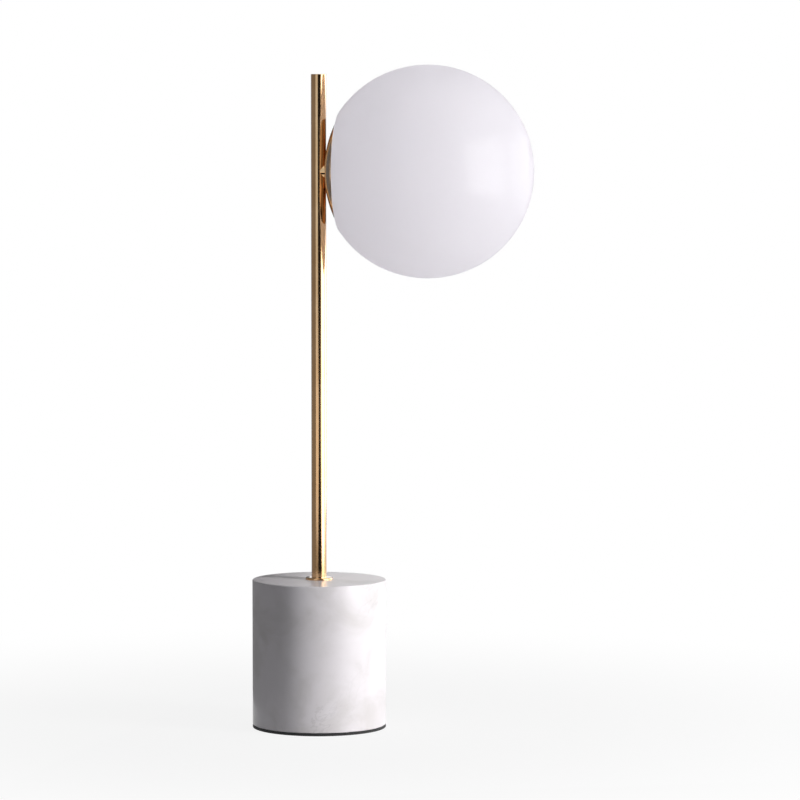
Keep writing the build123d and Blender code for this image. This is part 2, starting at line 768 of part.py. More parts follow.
dome_depth = bulb_radius - bulb_wall
dome_rim_radius = sqrt(dome_depth**2 - (bulb_centre - bulb_rim_x) ** 2)
with BuildPart() as bulb_dome:
    with BuildSketch(arm_profile):
        with BuildLine():
            ThreePointArc(
                (bulb_rim_x, bulb_rim_radius),
                (bulb_centre, bulb_radius),
                (bulb_centre + bulb_radius, 0),
            )
            Line((bulb_centre + bulb_radius, 0), (bulb_centre + dome_depth, 0))
            ThreePointArc(
                (bulb_centre + dome_depth, 0),
                (bulb_centre, dome_depth),
                (bulb_rim_x, dome_rim_radius),
            )
            Line((bulb_rim_x, dome_rim_radius), (bulb_rim_x, bulb_rim_radius))
        make_face()
    revolve(axis=arm_axis)
bulb_dome.part.label = "bulb_dome"
export_step(bulb_dome.part, "parts/bulb_dome.step")
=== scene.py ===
"""Looks of the glass globe table lamp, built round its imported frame.

Every piece is in metres in the frame's own axes: +Z is up the post, +X is the arm's level axis from
the post to the globe, and the lamp stands on Z = 0.
"""

import json
from math import atan2, ceil, cos, degrees, pi, radians, sin, sqrt

import bmesh
import bpy
from bpy.props import FloatProperty, FloatVectorProperty, IntProperty, PointerProperty
from mathutils import Matrix, Vector

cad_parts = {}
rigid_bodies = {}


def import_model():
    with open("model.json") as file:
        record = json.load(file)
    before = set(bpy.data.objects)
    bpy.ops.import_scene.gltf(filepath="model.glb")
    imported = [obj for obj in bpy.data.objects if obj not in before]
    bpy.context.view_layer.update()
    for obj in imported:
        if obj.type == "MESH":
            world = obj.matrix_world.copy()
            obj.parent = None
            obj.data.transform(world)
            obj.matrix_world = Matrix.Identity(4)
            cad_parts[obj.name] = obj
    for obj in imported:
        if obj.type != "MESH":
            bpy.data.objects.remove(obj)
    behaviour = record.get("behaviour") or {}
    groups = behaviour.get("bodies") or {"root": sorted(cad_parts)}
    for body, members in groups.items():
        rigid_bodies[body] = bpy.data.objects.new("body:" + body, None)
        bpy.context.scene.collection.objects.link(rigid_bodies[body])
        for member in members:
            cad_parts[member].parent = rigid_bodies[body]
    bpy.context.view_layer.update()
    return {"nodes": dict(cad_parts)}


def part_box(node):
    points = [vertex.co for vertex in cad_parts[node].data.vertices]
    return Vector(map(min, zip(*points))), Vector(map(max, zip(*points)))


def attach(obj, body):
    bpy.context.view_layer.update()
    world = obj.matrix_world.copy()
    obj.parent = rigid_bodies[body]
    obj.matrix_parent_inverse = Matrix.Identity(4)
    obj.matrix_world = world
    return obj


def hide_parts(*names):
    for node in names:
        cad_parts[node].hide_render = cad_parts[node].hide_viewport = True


bl_info = {
    "name": "Glass Globe Table Lamp",
    "version": (1, 0, 0),
    "blender": (4, 5, 0),
    "location": "View3D > Sidebar > Lamp",
    "description": "Builds the marble, brass and opal glass pieces of a table lamp round its packed frame",
    "category": "Object",
}

# Blender's own start-up objects go before the frame is loaded
for left_over in list(bpy.data.objects):
    bpy.data.objects.remove(left_over)
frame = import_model()

MM = 0.001
AXIS_X, AXIS_Z = Vector((1, 0, 0)), Vector((0, 0, 1))
tube_low, tube_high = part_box("post_tube")
neck_low, neck_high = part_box("arm_neck")
ARM = Vector((0, 0, (neck_low.z + neck_high.z) / 2))

# bearings are in degrees round the post: the camera stands this far to the right of square-on
CAMERA_BEARING = 8


def linear(hex_colour):
    """An sRGB hex colour as linear red, green, blue and alpha."""
    parts = [int(hex_colour[i : i + 2], 16) / 255 for i in (1, 3, 5)]
    return [c / 12.92 if c <= 0.04045 else ((c + 0.055) / 1.055) ** 2.4 for c in parts] + [1.0]


def size(name, default, description):
    """A length in metres that the panel shows, given here in millimetres."""
    return FloatProperty(name=name, description=description, default=default * MM, min=0, precision=5,
                         subtype="DISTANCE", unit="LENGTH")


def colour(name, default, description):
    """A colour that the panel shows, given here as an sRGB hex value."""
    return FloatVectorProperty(name=name, description=description, default=linear(default), size=4,
                               min=0, max=1, subtype="COLOR")


# ---------------------------------------------------------------- what a user would change


class LampSizes(bpy.types.PropertyGroup):
    round_steps: IntProperty(name="Round steps", description="Segments round each turned piece",
                             default=128, min=32, max=256)
    thread_steps: IntProperty(name="Thread steps", description="Segments to each turn of the bulb's thread",
                              default=96, min=24, max=192)
    arris: size("Marble arris", 0.9, "Radius of the drum's polished top edge")
    lower_arris: size("Marble lower edge", 0.45, "Bevel where the drum meets its pad")
    pocket_radius: size("Pocket radius", 25, "Hollow under the drum")
    pocket_height: size("Pocket height", 26, "Hollow under the drum, above the pad")
    pipe_hole_radius: size("Pipe hole radius", 4.2, "Hole up through the drum")
    pad_edge: size("Pad edge", 0.5, "Rounding of the rubber pad's edges")
    tube_wall: size("Post wall", 1.0, "Wall of the brass tube")
    top_edge: size("Post top edge", 0.36, "Rounding of the post's closed top")
    plug_wall: size("Plug fit", 1.05, "From the post's outside in to the plug's stem")
    collar_round: size("Collar round", 1.08, "Rounding of the foot collar")
    collar_bore: size("Collar bore", 6.4, "Radius of the foot collar's hole")
    dish_crown: size("Dish crown", 94, "Radius that the dish was spun to")
    dish_wall: size("Dish wall", 1.2, "Sheet that the dish was spun from")
    dish_flat: size("Dish flat", 14, "Radius of the flat at the dish's centre")
    rim_land: size("Rim land", 0.4, "Trimmed edge of the dish")
    glass_wall: size("Glass wall", 3, "Thickness of the globe")
    glass_mouth: size("Globe mouth", 40, "Radius of the globe's mouth")
    glass_corner: size("Globe seat corner", 8, "Rounding from the ball to its ground seat")
    mouth_round: size("Globe mouth rounding", 0.7, "Fire-polished edges of the mouth")
    thread_pitch: size("Bulb thread pitch", 3.629, "Seven threads to 25.4 mm, as on an E27 cap")
    thread_depth: size("Bulb thread depth", 1.1, "Rolled thread's crest to its root")
    cap_taper: size("Bulb cap taper", 2.2, "Length of the cap's taper to the contact")
    cap_skirt: size("Bulb cap skirt", 1.6, "Plain length of the cap at the housing")


class LampFinish(bpy.types.PropertyGroup):
    marble: colour("Marble", "#F9F4F7", "Body of the stone")
    marble_cloud: colour("Marble cloud", "#E7E2E2", "Soft clouds in the stone")
    marble_vein: colour("Marble vein", "#A9A4A2", "Faint veins in the stone")
    brass: colour("Brass", "#E7B986", "Polished brass under clear lacquer")
    brass_deep: colour("Brass, toned", "#D9A973", "Brass where the tone is deeper")
    glass: colour("Opal glass", "#F4F3F5", "Unlit opal glass")
    glass_deep: colour("Opal glass, deep", "#F1F0F2", "Opal glass where it is thicker")
    rubber: colour("Rubber", "#141414", "Pad under the drum")
    rubber_worn: colour("Rubber, worn", "#232323", "High points of the pad's skin")


# ---------------------------------------------------------------- shaping tools


def select_none():
    """Leaves edit mode and deselects everything, the frame's nodes among it."""
    if bpy.context.object and bpy.context.object.mode == "EDIT":
        bpy.ops.object.mode_set(mode="OBJECT")
    bpy.ops.object.select_all(action="DESELECT")


def draw_profile(name, points):
    """A primitive merged to one vertex at the first point, then drawn on from point to point."""
    select_none()
    bpy.ops.mesh.primitive_plane_add(size=MM, location=points[0])
    piece = bpy.context.object
    piece.name = piece.data.name = name
    bpy.ops.object.mode_set(mode="EDIT")
    bpy.ops.mesh.select_all(action="SELECT")
    bpy.ops.mesh.merge(type="CENTER")
    for here, there in zip(points, points[1:]):
        bpy.ops.mesh.extrude_vertices_move(TRANSFORM_OT_translate={"value": there - here})
    return piece


def spin_profile(steps, centre, axis):
    """Turns the drawn profile once round an axis and closes its seam and poles."""
    bpy.ops.mesh.select_all(action="SELECT")
    bpy.ops.mesh.spin(steps=steps, angle=2 * pi, center=centre, axis=axis)
    bpy.ops.mesh.select_all(action="SELECT")
    bpy.ops.mesh.remove_doubles(threshold=1e-6)
    bpy.ops.mesh.dissolve_degenerate(threshold=1e-7)
    bpy.ops.mesh.select_all(action="SELECT")
    bpy.ops.mesh.normals_make_consistent(inside=False)
    bpy.ops.object.mode_set(mode="OBJECT")


def settle(piece, body, finish, slot, *nodes, smooth=30):
    """Puts a finished piece's place in its mesh, and names its body, finish and the nodes it replaces."""
    select_none()
    piece.select_set(True)
    bpy.context.view_layer.objects.active = piece
    bpy.ops.object.transform_apply(location=True, rotation=True, scale=True)
    bpy.ops.object.shade_smooth_by_angle(angle=radians(smooth))
    piece.data.materials.clear()
    piece.data.materials.append(finish)
    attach(piece, body)
    if nodes:
        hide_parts(*nodes)
    return piece


def arc(centre, radius, start, end, step=3.0):
    """Points (along, out) on a profile's arc, about a step apart; all three angles are in degrees."""
    count = max(2, round(abs(end - start) / step))
    turns = [radians(start + (end - start) * i / count) for i in range(count + 1)]
    return [(centre[0] + radius * cos(t), centre[1] + radius * sin(t)) for t in turns]


def turned_on_arm(name, profile, steps):
    """A piece turned about the arm, from points (along the arm, out from it) in metres."""
    piece = draw_profile(name, [Vector((x, 0, ARM.z + r)) for x, r in profile])
    spin_profile(steps, ARM, AXIS_X)
    return piece


def turned_on_post(name, profile, steps):
    """A piece turned about the post, from points (out from it, height) in metres."""
    piece = draw_profile(name, [Vector((r, 0, z)) for r, z in profile])
    spin_profile(steps, (0, 0, 0), AXIS_Z)
    return piece


def choose_edges(piece, test):
    """Selects the open mesh's edges that pass a test of their middle, and nothing else."""
    bpy.ops.mesh.select_mode(type="EDGE")
    bpy.ops.mesh.select_all(action="DESELECT")
    mesh = bmesh.from_edit_mesh(piece.data)
    chosen = [edge for edge in mesh.edges if test((edge.verts[0].co + edge.verts[1].co) / 2, edge)]
    if not chosen:
        raise RuntimeError(f"no edge was chosen on {piece.name}")
    for edge in chosen:
        edge.select_set(True)
    bmesh.update_edit_mesh(piece.data)


def rolled_thread(name, start, end, crest, depth, pitch, steps):
    """A knuckle thread about the arm, rolled from one pitch of its wave and cut square at both ends."""
    wave_points, spare_turns = 12, 3
    first = start - pitch * spare_turns / 2
    wave = []
    for i in range(wave_points + 1):
        below_crest = depth * (1 - cos(2 * pi * i / wave_points)) / 2
        wave.append(Vector((first + pitch * i / wave_points, 0, ARM.z + crest - below_crest)))
    piece = draw_profile(name, wave)
    bpy.ops.object.mode_set(mode="OBJECT")
    # the Screw modifier turns about the object's origin, so that goes on the arm
    piece.data.transform(Matrix.Translation(-ARM) @ piece.matrix_world)
    piece.matrix_world = Matrix.Translation(ARM)
    screw = piece.modifiers.new("thread", "SCREW")
    screw.axis, screw.angle, screw.screw_offset = "X", 2 * pi, pitch
    screw.iterations = ceil((end - start) / pitch) + spare_turns
    screw.steps = screw.render_steps = steps
    screw.use_merge_vertices = True
    bpy.ops.object.modifier_apply(modifier=screw.name)
    bpy.ops.object.mode_set(mode="EDIT")
    for at, inner, outer in ((start, True, False), (end, False, True)):
        bpy.ops.mesh.select_all(action="SELECT")
        bpy.ops.mesh.bisect(plane_co=(at, 0, ARM.z), plane_no=AXIS_X, clear_inner=inner,
                            clear_outer=outer)
    return piece


def sizes():
    """The sizes that the panel shows."""
    return bpy.context.scene.lamp_sizes


def finish_colours():
    """The colours that the panel shows."""
    return bpy.context.scene.lamp_finish


# ---------------------------------------------------------------- finishes


def add(tree, kind, inputs=None, **settings):
    """Adds a shader node, sets its properties, and sets or links its inputs."""
    node = tree.nodes.new(kind)
    for name, value in settings.items():
        setattr(node, name, value)
    for socket, value in (inputs or {}).items():
        if isinstance(value, bpy.types.NodeSocket):
            tree.links.new(value, node.inputs[socket])
        else:
            node.inputs[socket].default_value = value
    return node


def surface(name, **values):
    """A new material with one Principled surface, its plain values set on that surface's sockets."""
    made = bpy.data.materials.new(name)
    made.use_nodes = True
    tree = made.node_tree
    skin = tree.nodes["Principled BSDF"]
    for socket, value in values.items():
        skin.inputs[socket.replace("_", " ")].default_value = value
    return made, tree, skin


def place(tree, offset=(0, 0, 0)):
    """Object coordinates, in metres, shifted by an offset."""
    where = add(tree, "ShaderNodeTexCoord").outputs["Object"]
    return add(tree, "ShaderNodeMapping", {"Vector": where, "Location": offset}).outputs["Vector"]


def scale_of(across):
    """The texture scale whose features are this many millimetres across."""
    return 1 / (across * MM)


def polished_marble():
    """Honed and polished white marble: a faintly pink white body, soft clouds, few and faint grey veins."""
    finish = finish_colours()
    made, tree, skin = surface("polished_white_marble", Roughness=0.28, IOR=1.5)
    stone = place(tree, offset=(0.013, 0.021, 0.004))
    # clouds, drifting from the body's white to a warmer grey
    cloud = add(tree, "ShaderNodeTexNoise", {"Vector": stone, "Scale": scale_of(45.5), "Detail": 5,
                                             "Roughness": 0.55, "Distortion": 0.6}).outputs["Fac"]
    cloud = add(tree, "ShaderNodeMapRange", {"Value": cloud, "From Min": 0.42, "From Max": 0.72},
                interpolation_type="SMOOTHSTEP").outputs["Result"]
    body = add(tree, "ShaderNodeMix", {"Factor": cloud, "A": finish.marble, "B": finish.marble_cloud},
               data_type="RGBA")
    # veins, drawn where a crumpled noise passes through its middle level
    vein = add(tree, "ShaderNodeTexNoise", {"Vector": stone, "Scale": scale_of(62.5), "Detail": 7,
                                            "Roughness": 0.62, "Distortion": 1.4}).outputs["Fac"]
    vein = add(tree, "ShaderNodeMath", {0: vein, 1: 0.53}, operation="SUBTRACT").outputs[0]
    vein = add(tree, "ShaderNodeMath", {0: vein}, operation="ABSOLUTE").outputs[0]
    vein = add(tree, "ShaderNodeMapRange", {"Value": vein, "From Min": 0.0, "From Max": 0.02,
                                            "To Min": 0.2, "To Max": 0.0},
               interpolation_type="SMOOTHSTEP").outputs["Result"]
    # patches of the stone that have veins at all
    patch = add(tree, "ShaderNodeTexNoise", {"Vector": stone, "Scale": scale_of(111),
                                             "Detail": 2}).outputs["Fac"]
    patch = add(tree, "ShaderNodeMapRange", {"Value": patch, "From Min": 0.5, "From Max": 0.66},
                interpolation_type="SMOOTHSTEP").outputs["Result"]
    vein = add(tree, "ShaderNodeMath", {0: vein, 1: patch}, operation="MULTIPLY").outputs[0]
    veined = add(tree, "ShaderNodeMix", {"Factor": vein, "A": body.outputs["Result"],
                                         "B": finish.marble_vein}, data_type="RGBA")
    tree.links.new(veined.outputs["Result"], skin.inputs["Base Color"])
    return made


def lacquered_brass(name):
    """Polished brass, toned and lacquered: warm mirror with a faint cloudiness in its tone."""
    finish = finish_colours()
    made, tree, skin = surface(name, Metallic=1.0, Coat_Weight=1.0, Coat_Roughness=0.04)
    metal = place(tree)
    # the tone drifts along the metal
    tone = add(tree, "ShaderNodeTexNoise", {"Vector": metal, "Scale": scale_of(25),
                                            "Detail": 4}).outputs["Fac"]
    tone = add(tree, "ShaderNodeMapRange", {"Value": tone, "From Min": 0.35,
                                            "From Max": 0.7}).outputs["Result"]
    shade = add(tree, "ShaderNodeMix", {"Factor": tone, "A": finish.brass, "B": finish.brass_deep},
                data_type="RGBA")
    tree.links.new(shade.outputs["Result"], skin.inputs["Base Color"])
    # the haze that polishing leaves
    haze = add(tree, "ShaderNodeTexNoise", {"Vector": metal, "Scale": scale_of(4),
                                            "Detail": 3}).outputs["Fac"]
    haze = add(tree, "ShaderNodeMapRange", {"Value": haze, "To Min": 0.1,
                                            "To Max": 0.15}).outputs["Result"]
    tree.links.new(haze, skin.inputs["Roughness"])
    return made


def opal_glass():
    """Blown opal glass, unlit: milk white that passes most of its light inwards, under a soft gloss."""
    finish = finish_colours()
    # the surface is a tenth of the mix, so it takes a high IOR to keep its gloss
    made, tree, skin = surface("blown_opal_glass", Roughness=0.16, IOR=2.3)
    # the opal's thickness drifts
    depth = add(tree, "ShaderNodeTexNoise", {"Vector": place(tree), "Scale": scale_of(71.5),
                                             "Detail": 2}).outputs["Fac"]
    depth = add(tree, "ShaderNodeMapRange", {"Value": depth, "To Min": 0.0,
                                             "To Max": 0.5}).outputs["Result"]
    tint = add(tree, "ShaderNodeMix", {"Factor": depth, "A": finish.glass, "B": finish.glass_deep},
               data_type="RGBA")
    tree.links.new(tint.outputs["Result"], skin.inputs["Base Color"])
    through = add(tree, "ShaderNodeBsdfTranslucent", {"Color": tint.outputs["Result"]})
    both = add(tree, "ShaderNodeMixShader", {0: 0.9, 1: skin.outputs[0], 2: through.outputs[0]})
    tree.links.new(both.outputs[0], tree.nodes["Material Output"].inputs["Surface"])
    return made


def matt_rubber():
    """Cut rubber sheet: near black, matt, with a fine skin texture."""
    finish = finish_colours()
    made, tree, skin = surface("cut_black_rubber", Roughness=0.75, IOR=1.5)
    grain = add(tree, "ShaderNodeTexNoise", {"Vector": place(tree), "Scale": scale_of(1.11),
                                             "Detail": 3}).outputs["Fac"]
    shade = add(tree, "ShaderNodeMix", {"Factor": grain, "A": finish.rubber, "B": finish.rubber_worn},
                data_type="RGBA")
    tree.links.new(shade.outputs["Result"], skin.inputs["Base Color"])
    bump = add(tree, "ShaderNodeBump", {"Height": grain, "Strength": 0.3, "Distance": 0.2 * MM})
    tree.links.new(bump.outputs["Normal"], skin.inputs["Normal"])
    return made


def mottled(name, low, high, grain_mm, roughness, metallic=0.0, bump=0.0, **values):
    """A finish whose colour drifts between two tones over grains of a real size."""
    made, tree, skin = surface(name, Metallic=metallic, **values)
    grain = add(tree, "ShaderNodeTexNoise", {"Vector": place(tree), "Scale": scale_of(grain_mm),
                                             "Detail": 3}).outputs["Fac"]
    shade = add(tree, "ShaderNodeMix", {"Factor": grain, "A": linear(low), "B": linear(high)},
                data_type="RGBA")
    tree.links.new(shade.outputs["Result"], skin.inputs["Base Color"])
    rough = add(tree, "ShaderNodeMapRange", {"Value": grain, "To Min": roughness * 0.85,
                                             "To Max": roughness * 1.15}).outputs["Result"]
    tree.links.new(rough, skin.inputs["Roughness"])
    if bump:
        relief = add(tree, "ShaderNodeBump", {"Height": grain, "Strength": bump,
                                               "Distance": 0.1 * MM})
        tree.links.new(relief.outputs["Normal"], skin.inputs["Normal"])
    return made


# ---------------------------------------------------------------- pieces


class LAMP_OT_marble_drum(bpy.types.Operator):
    """Turns the marble drum with its polished arris, underside pocket and pipe hole"""
    bl_idname = "lamp.marble_drum"
    bl_label = "Marble drum"

    def execute(self, context):
        s = sizes()
        low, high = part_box("marble_base")
        radius = high.x
        top = arc((radius - s.arris, high.z - s.arris), s.arris, 90, 0, 10)
        # rings across the top and down the side keep the long faces even
        inner_ring, outer_ring, side_ring = radius * 0.3, radius * 0.8, 20 * MM
        profile = [(s.pipe_hole_radius, high.z), (inner_ring, high.z), (outer_ring, high.z)]
        profile += top + [(radius, high.z - side_ring), (radius, low.z + side_ring)]
        profile += [(radius, low.z + s.lower_arris), (radius - s.lower_arris, low.z)]
        profile += [(s.pocket_radius, low.z), (s.pocket_radius, low.z + s.pocket_height)]
        profile += [(s.pipe_hole_radius, low.z + s.pocket_height), (s.pipe_hole_radius, high.z)]
        drum = turned_on_post("marble_drum", profile, s.round_steps)
        settle(drum, "stand", polished_marble(), "marble", "marble_base")
        return {"FINISHED"}


class LAMP_OT_rubber_pad(bpy.types.Operator):
    """Turns the rubber pad, rounded at its edges and grooved underneath"""
    bl_idname = "lamp.rubber_pad"
    bl_label = "Rubber pad"

    def execute(self, context):
        s = sizes()
        low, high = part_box("base_pad")
        radius, edge = high.x, s.pad_edge
        profile = [(0, high.z), (radius - edge, high.z)]
        profile += arc((radius - edge, high.z - edge), edge, 90, 0, 15)
        profile += arc((radius - edge, low.z + edge), edge, 0, -90, 15)
        # three grip grooves underneath, with sloped sides: a guess, as this side isn't seen
        groove_width, groove_depth, groove_slope = 1.8 * MM, 0.6 * MM, 0.3 * MM
        for share_of_radius in (0.92, 0.78, 0.64):
            out = radius * share_of_radius
            inside = out - groove_width
            profile += [(out, low.z), (out - groove_slope, low.z + groove_depth)]
            profile += [(inside + groove_slope, low.z + groove_depth), (inside, low.z)]
        profile.append((0, low.z))
        pad = turned_on_post("rubber_pad", profile, s.round_steps)
        settle(pad, "stand", matt_rubber(), "rubber_black", "base_pad")
        return {"FINISHED"}


class LAMP_OT_post(bpy.types.Operator):
    """Turns the brass post, its closed top and the collar at its foot"""
    bl_idname = "lamp.post"
    bl_label = "Post"

    def execute(self, context):
        s = sizes()
        brass = lacquered_brass("lacquered_antique_brass")
        radius, bore = tube_high.x, tube_high.x - s.tube_wall
        # rings this far below and above the arm split the post's long faces
        beside_arm = 12 * MM
        profile = [(bore, tube_low.z), (radius, tube_low.z)]
        profile += [(radius, ARM.z - beside_arm), (radius, ARM.z + beside_arm)]
        profile += [(radius, tube_high.z), (bore, tube_high.z), (bore, tube_low.z)]
        tube = turned_on_post("post", profile, s.round_steps)
        settle(tube, "stand", brass, "polished_brass", "post_tube")

        low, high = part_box("post_top_plug")
        stem, edge, lead_in = radius - s.plug_wall, s.top_edge, 0.6 * MM
        profile = [(0, low.z), (stem - lead_in, low.z), (stem, low.z + lead_in), (stem, tube_high.z)]
        profile += [(radius, tube_high.z)] + arc((radius - edge, high.z - edge), edge, 0, 90, 10)
        profile += [(radius * 0.5, high.z), (0, high.z)]
        plug = turned_on_post("post_top", profile, s.round_steps)
        settle(plug, "stand", brass, "polished_brass", "post_top_plug")

        low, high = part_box("post_collar")
        edge = s.collar_round
        profile = [(s.collar_bore, low.z), (high.x, low.z)]
        profile += arc((high.x - edge, high.z - edge), edge, 0, 90, 8)
        profile += [(s.collar_bore, high.z), (s.collar_bore, low.z)]
        collar = turned_on_post("foot_collar", profile, s.round_steps)
        settle(collar, "stand", brass, "polished_brass", "post_collar")
        # the frame's own neck stays, in the post's brass
        frame["nodes"]["arm_neck"].data.materials[0] = brass
        return {"FINISHED"}


class LAMP_OT_dish(bpy.types.Operator):
    """Turns the shallow brass dish that carries the globe"""
    bl_idname = "lamp.dish"
    bl_label = "Dish"

    def execute(self, context):
        s = sizes()
        low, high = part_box("dish")
        rim = high.y
        centre = low.x + sqrt(s.dish_crown**2 - s.dish_flat**2)
        inner = s.dish_crown - s.dish_wall
        hole = s.pipe_hole_radius

        def crown(radius, start, end):
            """Points on the crown, between two distances from the arm."""
            rings = 24
            outs = [start + (end - start) * i / rings for i in range(rings + 1)]
            return [(centre - sqrt(radius**2 - out**2), out) for out in outs]

        # the trimmed edge is rounded by less than half of its land
        soft = s.rim_land * 0.4
        inner_flat = sqrt(inner**2 - (centre - low.x - s.dish_wall) ** 2)
        inner_rim = sqrt(inner**2 - (centre - high.x) ** 2)
        profile = [(low.x + s.dish_wall, hole), (low.x, hole)] + crown(s.dish_crown, s.dish_flat, rim)
        profile += arc((high.x - soft, rim - soft), soft, 90, 0, 30)
        profile += crown(inner, inner_rim, inner_flat) + [(low.x + s.dish_wall, hole)]
        dish = turned_on_arm("dish_spun", profile, s.round_steps)
        settle(dish, "stand", lacquered_brass("spun_brass"), "polished_brass", "dish")
        return {"FINISHED"}


class LAMP_OT_globe(bpy.types.Operator):
    """Turns the opal glass globe with its ground seat, rounded seat corner and fire-polished mouth"""
    bl_idname = "lamp.globe"
    bl_label = "Globe"

    def execute(self, context):
        s = sizes()
        low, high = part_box("globe_glass")
        radius = (high.z - low.z) / 2
        centre = high.x - radius
        inner, inside = radius - s.glass_wall, low.x + s.glass_wall
        # the corner's arc touches both the ball and the plane of the seat
        corner = s.glass_corner
        corner_x = low.x + corner
        corner_out = sqrt((radius - corner) ** 2 - (centre - corner_x) ** 2)
        touch = degrees(atan2(corner_out, corner_x - centre))
        inner_out = sqrt(inner**2 - (centre - inside) ** 2)
        inner_touch = degrees(atan2(inner_out, inside - centre))
        mouth, soft = s.glass_mouth, s.mouth_round
        profile = arc((corner_x, corner_out), corner, 180, touch, 4)
        profile += arc((centre, 0), radius, touch, 0, 2.5)[1:]
        profile += arc((centre, 0), inner, 0, inner_touch, 2.5)
        profile += arc((inside - soft, mouth + soft), soft, 0, -90, 15)
        profile += arc((low.x + soft, mouth + soft), soft, -90, -180, 15)
        profile.append(profile[0])
        globe = turned_on_arm("opal_globe", profile, s.round_steps)
        settle(globe, "globe", opal_glass(), "opal_glass", "globe_glass")
        return {"FINISHED"}


class LAMP_OT_bulb_cap(bpy.types.Operator):
    """Rolls the bulb's screw cap, with its taper to the contact and its plain edge at the housing"""
    bl_idname = "lamp.bulb_cap"
    bl_label = "Bulb cap"

    def execute(self, context):
        s = sizes()
        low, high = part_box("bulb_cap")
        crest = (high.z - low.z) / 2
        start, end = low.x + s.cap_taper, high.x - s.cap_skirt
        cap = rolled_thread("bulb_screw_cap", start, end, crest, s.thread_depth, s.thread_pitch,
                            s.thread_steps)
        # each cut end is drawn out to the cap's own end, narrower towards the contact, and closed
        taper_share, skirt_share, same_place = 0.86, 1.0, 0.01 * MM
        for at, plane, share in ((start, low.x, taper_share), (end, high.x, skirt_share)):
            choose_edges(cap, lambda middle, edge: edge.is_boundary and abs(middle.x - at) < same_place)
            bpy.ops.mesh.extrude_edges_move(TRANSFORM_OT_translate={"value": (plane - at, 0, 0)})
            bpy.ops.transform.resize(value=(1, share, share), center_override=(plane, 0, ARM.z))
            bpy.ops.mesh.edge_face_add()
        bpy.ops.mesh.select_all(action="SELECT")
        bpy.ops.mesh.normals_make_consistent(inside=False)
        bpy.ops.object.mode_set(mode="OBJECT")
        # aluminium, rolled: a pale, slightly soft shine
        rolled = mottled("rolled_aluminium", "#C6C7C9", "#D6D7D8", 2, 0.26, 1.0)
        settle(cap, "bulb", rolled, "bulb_metal", "bulb_cap", smooth=50)
        return {"FINISHED"}


class LAMP_OT_inner_finishes(bpy.types.Operator):
    """Gives the frame's own pieces, most of them inside the globe and the base, their finishes"""
    bl_idname = "lamp.inner_finishes"
    bl_label = "Inner finishes"

    def execute(self, context):
        # zinc plate on steel: cool, bright and faintly spangled
        zinc = mottled("zinc_plated_steel", "#B4B6BA", "#C9CBCC", 2.5, 0.32, 1.0)
        # tempered strip: a darker grey with a tight shine
        spring = mottled("tempered_spring_steel", "#9A9B9E", "#B2B3B5", 3, 0.28, 1.0)
        # brass as turned, with no lacquer: yellower than the post
        turned_brass = mottled("turned_brass", "#C9A45C", "#DDBB76", 3, 0.3, 1.0)
        # moulded phenolic: near black with a hard gloss
        phenolic = mottled("moulded_phenolic", "#0E0D0C", "#1A1816", 4, 0.22, IOR=1.6)
        # unglazed steatite: chalky and warm white
        ceramic = mottled("unglazed_steatite", "#D8D5CC", "#E6E3DB", 3, 0.6, bump=0.2, IOR=1.6)
        # cast silicone: a soft, greyish white
        ring = mottled("cast_silicone", "#D9D6D0", "#E5E2DC", 4, 0.45, IOR=1.41)
        # moulded nylon: black with a satin skin
        nylon = mottled("moulded_black_nylon", "#141414", "#202020", 3, 0.42, bump=0.1, IOR=1.53)
        # moulded polycarbonate: clean white with a moderate gloss
        moulded = mottled("moulded_white_polycarbonate", "#E9E9E6", "#F1F1EE", 6, 0.3, IOR=1.58)
        # extruded insulation in its two standard colours
        brown = mottled("brown_pvc_insulation", "#4A2A18", "#5A3420", 3, 0.4, IOR=1.53)
        blue = mottled("blue_pvc_insulation", "#2A5C9C", "#356AAC", 3, 0.4, IOR=1.53)
        # tin on the eyelet: bright and a little cloudy
        tin = mottled("tinned_eyelet", "#B9BABB", "#D2D2D0", 1.5, 0.25, 1.0)
        # frosted polycarbonate: white, with light that spreads a few millimetres inside it
        frosted = mottled("frosted_polycarbonate", "#EDEDEB", "#F5F5F3", 6, 0.35, IOR=1.58,
                          Subsurface_Weight=0.6, Subsurface_Scale=4 * MM)
        finishes = {
            zinc: ("pipe_washer", "pipe_lock_washer", "pipe_nut", "threaded_pipe", "clip_pan",
                   "clip_rivets", "arm_lock_washer", "arm_nut"),
            spring: ("globe_clip_1", "globe_clip_2", "globe_clip_3"),
            turned_brass: ("post_foot_bush", "arm_anchor", "arm_nipple", "holder_terminals",
                           "holder_shell", "holder_contact"),
            phenolic: ("holder_cap", "holder_skirt"),
            ceramic: ("holder_core",),
            ring: ("seat_ring",),
            nylon: ("cord_gland", "bulb_insulator"),
            moulded: ("terminal_block", "bulb_housing"),
            brown: ("lead_live",),
            blue: ("lead_neutral",),
            tin: ("bulb_contact",),
            frosted: ("bulb_dome",),
        }
        for finish, nodes in finishes.items():
            for node in nodes:
                frame["nodes"][node].data.materials[0] = finish
        return {"FINISHED"}


# ---------------------------------------------------------------- stage


def emitter(name, shade, strength):
    """A studio card's face, which gives off an even light."""
    made = bpy.data.materials.new(name)
    made.use_nodes = True
    tree = made.node_tree
    tree.nodes.remove(tree.nodes["Principled BSDF"])
    glow = add(tree, "ShaderNodeEmission", {"Color": linear(shade), "Strength": strength})
    tree.links.new(glow.outputs[0], tree.nodes["Material Output"].inputs["Surface"])
    return made


def seen(tree):
    """1 for camera, glossy and transmission rays, which see the white background, else 0."""
    rays = add(tree, "ShaderNodeLightPath").outputs
    either = add(tree, "ShaderNodeMath", {0: rays["Is Camera Ray"], 1: rays["Is Glossy Ray"]},
                 operation="MAXIMUM").outputs[0]
    return add(tree, "ShaderNodeMath", {0: either, 1: rays["Is Transmission Ray"]},
               operation="MAXIMUM").outputs[0]


